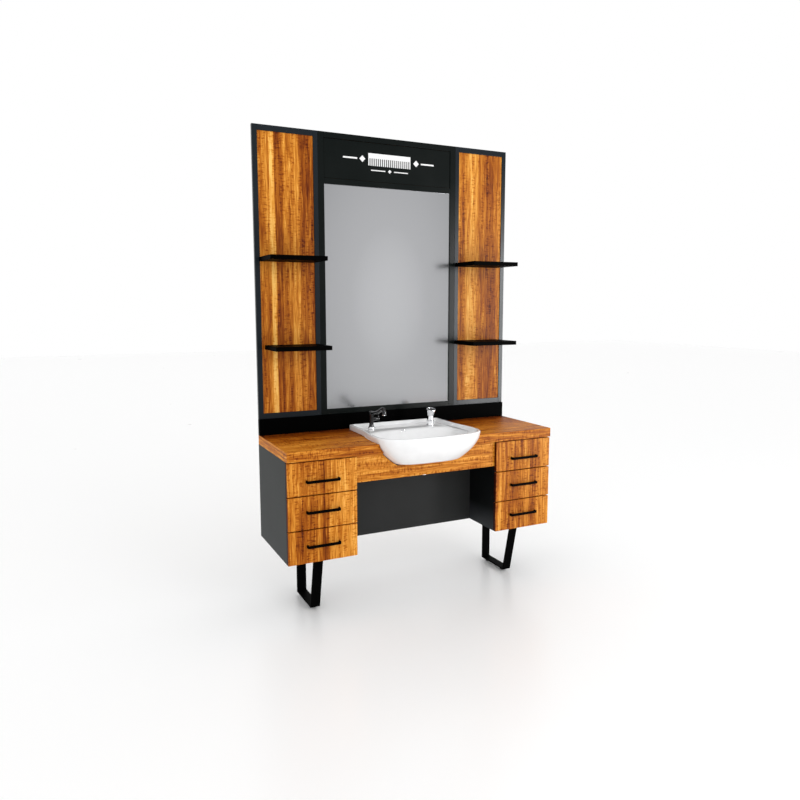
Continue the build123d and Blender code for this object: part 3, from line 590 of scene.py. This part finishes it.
def ring_skin(name, rings):
    """A skin over rings of points: a circle is added, set on the first, and extruded to each next one."""
    bpy.ops.mesh.primitive_circle_add(vertices=len(rings[0]), radius=1.0)
    piece = bpy.context.object
    piece.name = name
    for vertex, place_at in zip(piece.data.vertices, rings[0]):
        vertex.co = place_at
    bpy.ops.object.mode_set(mode="EDIT")
    for ring in rings[1:]:
        cage = bmesh.from_edit_mesh(piece.data)
        cage.verts.ensure_lookup_table()
        order = [cage.verts[len(cage.verts) - len(ring) + step] for step in range(len(ring))]
        before = {tuple(vertex.co): step for step, vertex in enumerate(order)}
        bpy.ops.mesh.extrude_region_move(TRANSFORM_OT_translate={"value": (0, 0, 0)})
        cage = bmesh.from_edit_mesh(piece.data)
        for vertex in [vertex for vertex in cage.verts if vertex.select]:
            vertex.co = ring[before[tuple(vertex.co)]]
        bmesh.update_edit_mesh(piece.data)
    bpy.ops.mesh.select_all(action="SELECT")
    bpy.ops.mesh.remove_doubles(threshold=0.00002)
    bpy.ops.mesh.normals_make_consistent(inside=False)
    bpy.ops.object.mode_set(mode="OBJECT")
    return piece


basin = ring_skin("basin_glazed", basin_rings)
smooth = basin.modifiers.new("rounding", "SUBSURF")
smooth.levels = 2
smooth.render_levels = 2
bpy.context.view_layer.objects.active = basin
bpy.ops.object.modifier_apply(modifier=smooth.name)


def tool_rod(radius, x, y, z, length):
    """A plain rod used to bore a hole, and taken away after."""
    bpy.ops.mesh.primitive_cylinder_add(vertices=48, radius=radius, depth=length, location=(x, y, z))
    return bpy.context.object


tap_x = -0.172
tap_y = top_front + 0.355
spray_x = 0.172
spray_y = top_front + 0.325
for hole_x, hole_y in ((tap_x, tap_y), (spray_x, spray_y)):
    rod = tool_rod(0.0172, hole_x, hole_y, ledge_top, 0.08)
    bore = basin.modifiers.new("bore", "BOOLEAN")
    bore.operation = "DIFFERENCE"
    bore.object = rod
    bpy.context.view_layer.objects.active = basin
    bpy.ops.object.modifier_apply(modifier=bore.name)
    bpy.data.objects.remove(rod)


def rounded_shading(piece, degrees=40):
    """Smooth shading, with edges sharper than this left crisp."""
    bpy.ops.object.select_all(action="DESELECT")
    piece.select_set(True)
    bpy.context.view_layer.objects.active = piece
    bpy.ops.object.shade_smooth_by_angle(angle=math.radians(degrees))
    piece.select_set(False)


rounded_shading(basin, 60)
glaze, glaze_shader, spot = finish_of("white_glaze", (0.88, 0.88, 0.87), 0.08, coat=0.5)
pool = spot.noise(14.0, 3.0)
feed(glaze_shader, base_color=pool.mottled((0.86, 0.865, 0.87), (0.92, 0.925, 0.93)),
     roughness=0.05 + 0.06 * pool)
raised(glaze_shader, spot.noise(30.0, 1.0), 0.0002, 0.2)


def fit_out(piece, material, slot, body, *nodes):
    """Finish a new piece: its material, the body it moves with and the CAD nodes it stands for."""
    piece.data.materials.clear()
    piece.data.materials.append(material)
    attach(piece, body)
    if nodes:
        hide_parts(*nodes)


fit_out(basin, glaze, "ceramic", "station", "basin")


# ---- Overflow: a chrome ring pressed into the bowl's back wall, with a dark throat
def turned(name, x, y, profile, sides=48, edge=0.0005):
    """A turned piece: a disc is added and drawn up through each radius and height of its profile."""
    radius, height = profile[0]
    bpy.ops.mesh.primitive_circle_add(vertices=sides, radius=radius, fill_type="TRIFAN", location=(0, 0, 0))
    piece = bpy.context.object
    piece.name = name
    bpy.ops.object.mode_set(mode="EDIT")
    bpy.ops.transform.translate(value=(x, y, height))
    for next_radius, next_height in profile[1:]:
        bpy.ops.mesh.extrude_region_move(TRANSFORM_OT_translate={"value": (0, 0, next_height - height)})
        growth = next_radius / radius
        bpy.ops.transform.resize(value=(growth, growth, 1), center_override=(x, y, next_height))
        radius, height = next_radius, next_height
    bpy.ops.mesh.select_all(action="SELECT")
    bpy.ops.mesh.normals_make_consistent(inside=False)
    bpy.ops.object.mode_set(mode="OBJECT")
    if edge:
        round_over = piece.modifiers.new("round_over", "BEVEL")
        round_over.width = edge
        round_over.segments = 3
        round_over.limit_method = "ANGLE"
        round_over.angle_limit = math.radians(35)
        bpy.ops.object.modifier_apply(modifier=round_over.name)
    bpy.ops.object.transform_apply(location=True, rotation=True, scale=True)
    rounded_shading(piece)
    return piece


def turn_about(piece, angle, axis, pivot):
    """Turn a piece's mesh about a line through a point."""
    piece.data.transform(Matrix.Translation(pivot) @ Matrix.Rotation(angle, 4, axis)
                         @ Matrix.Translation(-Vector(pivot)))


overflow_x = -0.020
overflow_y = bowl_y + 0.2135
overflow_z = 0.8425
overflow = turned("overflow_ring", overflow_x, overflow_y, (
    (0.0105, overflow_z - 0.004), (0.0125, overflow_z - 0.0005), (0.0120, overflow_z + 0.0015),
    (0.0100, overflow_z + 0.0022), (0.0085, overflow_z + 0.0012), (0.0080, overflow_z - 0.003),
    (0.0030, overflow_z - 0.0035)))
turn_about(overflow, math.radians(80), "X", (overflow_x, overflow_y, overflow_z))
fit_out(overflow, chrome, "chrome", "station")

# ---- Tap: a pillar with a chrome foot, a black column with the valve's boss, a turning head with a
# curved spout, and a stub lever. Cast brass, turned, coated gloss black; held by a backnut underneath.
black_coat, black_coat_shader, spot = finish_of("gloss_black_coat", (0.004, 0.004, 0.005), 0.16, coat=0.2)
film = spot.noise(60.0, 2.0)
feed(black_coat_shader, base_color=film.mottled((0.003, 0.003, 0.004), (0.007, 0.007, 0.008)),
     roughness=0.13 + 0.08 * film)
dull(black_coat_shader, 0.35)

foot = turned("tap_foot", tap_x, tap_y, (
    (0.0190, ledge_top), (0.0190, ledge_top + 0.004), (0.0184, ledge_top + 0.008),
    (0.0168, ledge_top + 0.0115), (0.0142, ledge_top + 0.0135), (0.0120, ledge_top + 0.0140)), edge=0.0003)
fit_out(foot, chrome, "chrome", "station")

column = turned("tap_column", tap_x, tap_y, (
    (0.0240, counter - 0.008), (0.0240, counter), (0.0105, counter), (0.0105, ledge_top + 0.012),
    (0.0140, ledge_top + 0.0135), (0.0136, ledge_top + 0.016), (0.0124, ledge_top + 0.022),
    (0.0118, ledge_top + 0.030), (0.0118, ledge_top + 0.066), (0.0124, ledge_top + 0.070)))
bpy.ops.object.select_all(action="DESELECT")
tail = turned("tap_tail", tap_x, tap_y, (
    (0.0098, counter - 0.055), (0.0105, counter - 0.053), (0.0105, counter + 0.002)))
boss = turned("tap_boss", tap_x, tap_y, (
    (0.0060, ledge_top + 0.060), (0.0088, ledge_top + 0.061), (0.0088, ledge_top + 0.084),
    (0.0080, ledge_top + 0.0865)))
boss_pivot = (tap_x, tap_y, ledge_top + 0.053)
turn_about(boss, math.radians(90), "Y", boss_pivot)


def joined(main, *others):
    """Pieces fixed for good become one."""
    bpy.ops.object.select_all(action="DESELECT")
    for other in others:
        other.select_set(True)
    main.select_set(True)
    bpy.context.view_layer.objects.active = main
    bpy.ops.object.join()
    main.select_set(False)


joined(column, tail, boss)
fit_out(column, black_coat, "black_tap", "station", "tap_body")

head_low = ledge_top + 0.0703
turning_head = turned("tap_head", tap_x, tap_y, (
    (0.0080, head_low - 0.014), (0.0080, head_low), (0.0130, head_low), (0.0130, head_low + 0.021),
    (0.0120, head_low + 0.0250), (0.0090, head_low + 0.0268)))
neck_line = ((0.355, 0.0975), (0.336, 0.0985), (0.310, 0.1025), (0.276, 0.1105), (0.247, 0.1205),
             (0.222, 0.1335), (0.203, 0.1400), (0.190, 0.1350), (0.190, 0.1190))
curve = bpy.data.curves.new("tap_neck", "CURVE")
curve.dimensions = "3D"
curve.bevel_depth = 0.0095
curve.bevel_resolution = 8
curve.use_fill_caps = True
line = curve.splines.new("NURBS")
line.points.add(len(neck_line) - 1)
for point, (depth_at, rise) in zip(line.points, neck_line):
    point.co = (tap_x, top_front + depth_at, counter + rise, 1.0)
line.order_u = 4
line.use_endpoint_u = True
line.resolution_u = 10
neck = bpy.data.objects.new("tap_neck", curve)
scene.collection.objects.link(neck)
bpy.ops.object.select_all(action="DESELECT")
neck.select_set(True)
bpy.context.view_layer.objects.active = neck
bpy.ops.object.convert(target="MESH")
neck = bpy.context.object
rounded_shading(neck)
outlet_y = top_front + 0.190
outlet_z = counter + 0.110
outlet = turned("tap_outlet", tap_x, outlet_y, (
    (0.0100, outlet_z), (0.0120, outlet_z + 0.001), (0.0120, outlet_z + 0.014), (0.0112, outlet_z + 0.0165),
    (0.0095, outlet_z + 0.0175)))
joined(turning_head, neck, outlet)
fit_out(turning_head, black_coat, "black_tap", "tap_spout", "tap_spout")
aerator = turned("tap_aerator", tap_x, outlet_y, (
    (0.0060, outlet_z - 0.0002), (0.0085, outlet_z - 0.0004), (0.0092, outlet_z - 0.0030),
    (0.0104, outlet_z - 0.0030), (0.0106, outlet_z + 0.0006)), edge=0.0003)
fit_out(aerator, chrome, "chrome", "tap_spout")

lever_x = tap_x + 0.041
lever_z = ledge_top + 0.053
hub = turned("tap_lever_hub", lever_x, tap_y, (
    (0.0080, lever_z - 0.0065), (0.0090, lever_z - 0.0055), (0.0090, lever_z + 0.0035),
    (0.0080, lever_z + 0.0050), (0.0050, lever_z + 0.0055)))
turn_about(hub, math.radians(90), "Y", (lever_x, tap_y, lever_z))
stick = turned("tap_lever", lever_x, tap_y, (
    (0.0040, lever_z + 0.005), (0.0030, lever_z + 0.012), (0.0028, lever_z + 0.022),
    (0.0034, lever_z + 0.031), (0.0033, lever_z + 0.0345), (0.0020, lever_z + 0.0360)), sides=24)
joined(stick, hub)
fit_out(stick, black_coat, "black_tap", "tap_lever", "tap_lever")

# ---- Hand spray: a chrome collar on the ledge, and the spray that lifts out of it on its stem. Its
# head is tipped forwards, with a dark rubber face of nozzles inside a chrome rim.
collar = turned("spray_collar", spray_x, spray_y, (
    (0.0160, counter - 0.040), (0.0160, counter - 0.008), (0.0240, counter - 0.008), (0.0240, counter),
    (0.0160, counter), (0.0160, ledge_top), (0.0230, ledge_top), (0.0230, ledge_top + 0.0035),
    (0.0215, ledge_top + 0.0055), (0.0205, ledge_top + 0.009), (0.0205, ledge_top + 0.025),
    (0.0196, ledge_top + 0.026), (0.0111, ledge_top + 0.026), (0.0111, counter - 0.0385)))
fit_out(collar, chrome, "chrome", "station", "sprayer_holder")
grip_low = ledge_top + 0.0263
waist = ledge_top + 0.052
spray = turned("spray_grip", spray_x, spray_y, (
    (0.0105, ledge_top - 0.020), (0.0110, ledge_top - 0.018), (0.0110, grip_low), (0.0196, grip_low),
    (0.0200, grip_low + 0.002), (0.0186, grip_low + 0.009), (0.0172, waist - 0.006), (0.0165, waist),
    (0.0168, waist + 0.006), (0.0120, waist + 0.012)), edge=0.0003)
tilt_at = (spray_x, spray_y, waist + 0.002)
spray_head = turned("spray_head", spray_x, spray_y, (
    (0.0140, waist - 0.002), (0.0166, waist + 0.002), (0.0180, waist + 0.010), (0.0210, waist + 0.020),
    (0.0242, waist + 0.028), (0.0258, waist + 0.033), (0.0260, waist + 0.037), (0.0250, waist + 0.0395),
    (0.0215, waist + 0.0395), (0.0205, waist + 0.0370), (0.0080, waist + 0.0370)), edge=0.0003)
turn_about(spray_head, math.radians(14), "X", tilt_at)
joined(spray, spray_head)
fit_out(spray, chrome, "chrome", "sprayer", "sprayer_handset")
rubber, rubber_shader, spot = finish_of("nozzle_rubber", (0.03, 0.03, 0.032), 0.6)
feed(rubber_shader, base_color=spot.noise(300.0).mottled((0.022, 0.022, 0.024), (0.05, 0.05, 0.052)),
     roughness=0.5 + 0.2 * spot.noise(200.0))
spray_face = turned("spray_face", spray_x, spray_y, (
    (0.0202, waist + 0.0366), (0.0202, waist + 0.0382), (0.0190, waist + 0.0388), (0.0050, waist + 0.0392)),
    edge=0.0003)
nozzles = []
for circle, count in ((0.006, 6), (0.0125, 12)):
    for step in range(count):
        lean = 2 * math.pi * step / count
        nozzle_x = spray_x + circle * math.cos(lean)
        nozzle_y = spray_y + circle * math.sin(lean)
        nozzles.append(turned("nozzle", nozzle_x, nozzle_y, (
            (0.0012, waist + 0.0380), (0.0010, waist + 0.0402), (0.0006, waist + 0.0406)), sides=10, edge=0))
joined(spray_face, *nozzles)
turn_about(spray_face, math.radians(14), "X", tilt_at)
fit_out(spray_face, rubber, "black_plastic", "sprayer")

# ---- Pulls: a thick steel strip with its two ends bent back to the front, powder-coated, screwed from
# inside the drawer
pull_low, pull_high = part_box("left_top_handle")
strip = 0.007
bpy.ops.mesh.primitive_cube_add(size=1.0)
pull = bpy.context.object
pull.name = "left_top_pull"
bpy.ops.object.mode_set(mode="EDIT")
bpy.ops.transform.resize(value=(pull_high.x - pull_low.x, strip, pull_high.z - pull_low.z))
bpy.ops.transform.translate(value=((pull_low.x + pull_high.x) / 2, pull_low.y + strip / 2,
                                   (pull_low.z + pull_high.z) / 2))
for cut_x in (pull_low.x + strip, pull_high.x - strip):
    bpy.ops.mesh.select_all(action="SELECT")
    bpy.ops.mesh.bisect(plane_co=(cut_x, 0, 0), plane_no=(1, 0, 0))
bpy.ops.mesh.select_all(action="DESELECT")
bpy.ops.mesh.select_mode(type="FACE")
cage = bmesh.from_edit_mesh(pull.data)
for patch in cage.faces:
    middle = patch.calc_center_median()
    at_end = middle.x < pull_low.x + strip or middle.x > pull_high.x - strip
    patch.select_set(patch.normal.y > 0.9 and at_end)
bmesh.update_edit_mesh(pull.data)
bpy.ops.mesh.extrude_region_move(TRANSFORM_OT_translate={"value": (0, pull_high.y - pull_low.y - strip, 0)})
bpy.ops.mesh.select_all(action="DESELECT")
bpy.ops.mesh.select_mode(type="EDGE")
cage = bmesh.from_edit_mesh(pull.data)
for line in cage.edges:
    first, second = (vertex.co for vertex in line.verts)
    upright = abs(first.z - second.z) > 0.001
    at_nose = max(first.y, second.y) < pull_low.y + 0.0001
    at_end = first.x < pull_low.x + 0.0001 or first.x > pull_high.x - 0.0001
    line.select_set(upright and at_nose and at_end)
bmesh.update_edit_mesh(pull.data)
bpy.ops.mesh.bevel(offset=0.0065, segments=6, affect="EDGES")
bpy.ops.mesh.select_all(action="SELECT")
bpy.ops.mesh.normals_make_consistent(inside=False)
bpy.ops.object.mode_set(mode="OBJECT")
round_over = pull.modifiers.new("round_over", "BEVEL")
round_over.width = 0.0010
round_over.segments = 3
round_over.limit_method = "ANGLE"
bpy.ops.object.modifier_apply(modifier=round_over.name)
rounded_shading(pull)


def copied(piece, name, shift):
    """A copy of a piece with its own mesh, moved by a shift."""
    twin = piece.copy()
    twin.data = piece.data.copy()
    twin.name = name
    twin.data.transform(Matrix.Translation(shift))
    scene.collection.objects.link(twin)
    return twin


for side in ("left", "right"):
    for level in ("bottom", "middle", "top"):
        node = f"{side}_{level}_handle"
        twin = pull
        if node != "left_top_handle":
            twin = copied(pull, f"{side}_{level}_pull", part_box(node)[0] - pull_low)
        fit_out(twin, powder, "black_steel", f"{side}_{level}_drawer", node)

# ---- Weld beads: where the legs' flat bars meet, ground back to a low ripple and coated over
leg_low, leg_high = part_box("left_leg")
ripples = 26
ripple_pitch = 0.0018
bead_end = 0.002
bead_length = 2 * bead_end + ripples * ripple_pitch
ripple_profile = [(0.0012, 0.0)]
for step in range(ripples + 1):
    ripple_profile.append((0.0027 if step % 2 else 0.0031, bead_end + step * ripple_pitch))
ripple_profile.append((0.0012, bead_length))
bead = turned("left_leg_weld_1", 0.0, 0.0, ripple_profile, sides=12, edge=0)
turn_about(bead, math.radians(90), "Y", (0, 0, 0))
mid_leg = (leg_low.x + leg_high.x) / 2
bar_thick = 0.008
corner_spots = ((leg_high.y - bar_thick, leg_low.z + bar_thick),
                (leg_high.y - bar_thick, leg_high.z - bar_thick),
                (leg_low.y + 0.0720, leg_low.z + bar_thick),
                (leg_low.y + 0.0100, leg_high.z - bar_thick))
first_shift = Vector((mid_leg - bead_length / 2, corner_spots[0][0], corner_spots[0][1]))
bead.data.transform(Matrix.Translation(first_shift))
fit_out(bead, powder, "black_steel", "station")
leg_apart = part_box("right_leg")[0].x - leg_low.x
for side, sideways in (("left", 0.0), ("right", leg_apart)):
    for count, (y, z) in enumerate(corner_spots, 1):
        if side == "left" and count == 1:
            continue
        shift = (sideways, y - corner_spots[0][0], z - corner_spots[0][1])
        fit_out(copied(bead, f"{side}_leg_weld_{count}", shift), powder, "black_steel", "station")

# ---- Glides: black plastic feet pressed into the foot bars, with a domed wearing face
foot_spots = []
for x in (leg_low.x + leg_high.x) / 2, (leg_low.x + leg_high.x) / 2 + leg_apart:
    for y in (top_front + 0.188, top_front + 0.338):
        foot_spots.append((x, y))
glide = turned("glide_1", foot_spots[0][0], foot_spots[0][1], (
    (0.0120, 0.0), (0.0133, 0.0006), (0.0140, 0.0024), (0.0140, 0.0070), (0.0132, 0.0088), (0.0104, 0.0092),
    (0.0100, 0.0100), (0.0100, 0.0150)), edge=0.0003)
fit_out(glide, moulded, "black_plastic", "station", "glides")
for count, (x, y) in enumerate(foot_spots[1:], 2):
    twin = copied(glide, f"glide_{count}", (x - foot_spots[0][0], y - foot_spots[0][1], 0.0))
    fit_out(twin, moulded, "black_plastic", "station")
